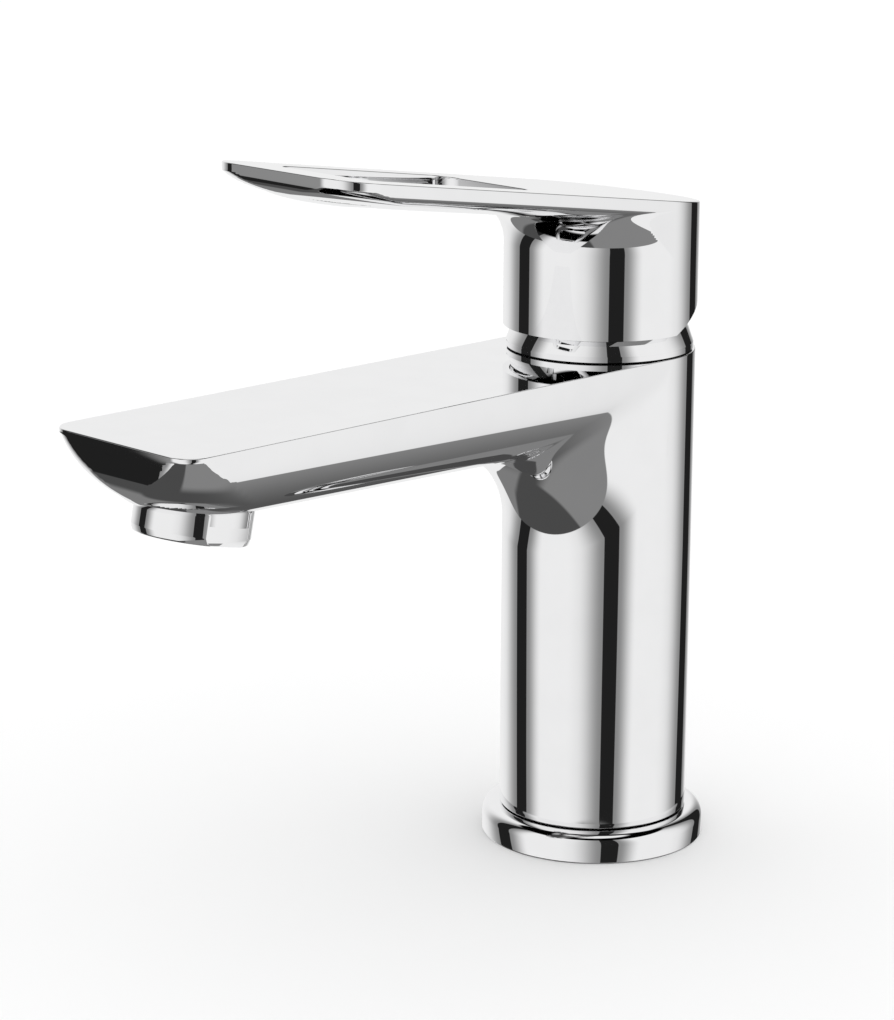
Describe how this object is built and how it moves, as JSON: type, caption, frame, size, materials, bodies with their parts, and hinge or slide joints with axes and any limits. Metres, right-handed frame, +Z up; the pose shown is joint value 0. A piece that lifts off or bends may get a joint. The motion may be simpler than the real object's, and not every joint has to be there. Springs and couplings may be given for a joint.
{
  "type": "single-lever basin mixer",
  "caption": "Deck-mounted basin mixer with a flat-topped cantilever spout, a round column on a base ring and a looped lever over a ceramic-disc cartridge.",
  "frame": {"origin": "on the column's axis, at the underside of the base ring", "axes": "+Z up along the column; the spout and the lever point to -Y; X runs across, and the part is mirror-symmetric about X = 0"},
  "size_m": [0.0534, 0.1724, 0.1714],
  "materials": {
    "chrome": "polished plating",
    "brass": "machined",
    "steel": "plain stainless",
    "rubber": "moulded, matt",
    "ceramic": "ground alumina, standing in as gloss plastic",
    "white_plastic": "moulded",
    "grey_plastic": "moulded"
  },
  "bodies": {
    "body": {"mixer_body": "chrome", "base_ring": "chrome", "base_seal": "rubber", "aerator_housing": "chrome", "aerator_insert": "grey_plastic", "aerator_screen": "steel", "aerator_gasket": "rubber", "cartridge_base": "white_plastic", "hot_port_seal": "rubber", "cold_port_seal": "rubber", "fixed_disc": "ceramic", "cartridge_housing": "grey_plastic", "cartridge_oring": "rubber", "cartridge_nut": "brass", "dome_cover": "chrome", "dome_seal": "rubber"},
    "turret": {"turret": "white_plastic", "spindle_pin": "steel"},
    "lever": {"spindle": "brass", "spindle_sleeve": "grey_plastic", "handle": "chrome", "handle_set_screw": "steel", "indicator_plug": "grey_plastic"},
    "slider": {"disc_carrier": "white_plastic", "moving_disc": "ceramic"}
  },
  "joints": [
    {"name": "lever_turn", "type": "hinge", "parent": "body", "child": "turret", "pos_m": [0, 0, 0.1075], "axis": [0, 0, 1], "range_deg": [-45, 45]},
    {"name": "lever_tilt", "type": "hinge", "parent": "turret", "child": "lever", "pos_m": [0, 0, 0.1075], "axis": [-1, 0, 0], "range_deg": [0, 25]},
    {"name": "disc_slide", "type": "slide", "parent": "turret", "child": "slider", "axis": [0, -1, 0], "range_m": [0, 0.0059]}
  ],
  "couplings": [
    {"joint": "disc_slide", "follows": "lever_tilt", "m_per_rad": 0.0135}
  ]
}
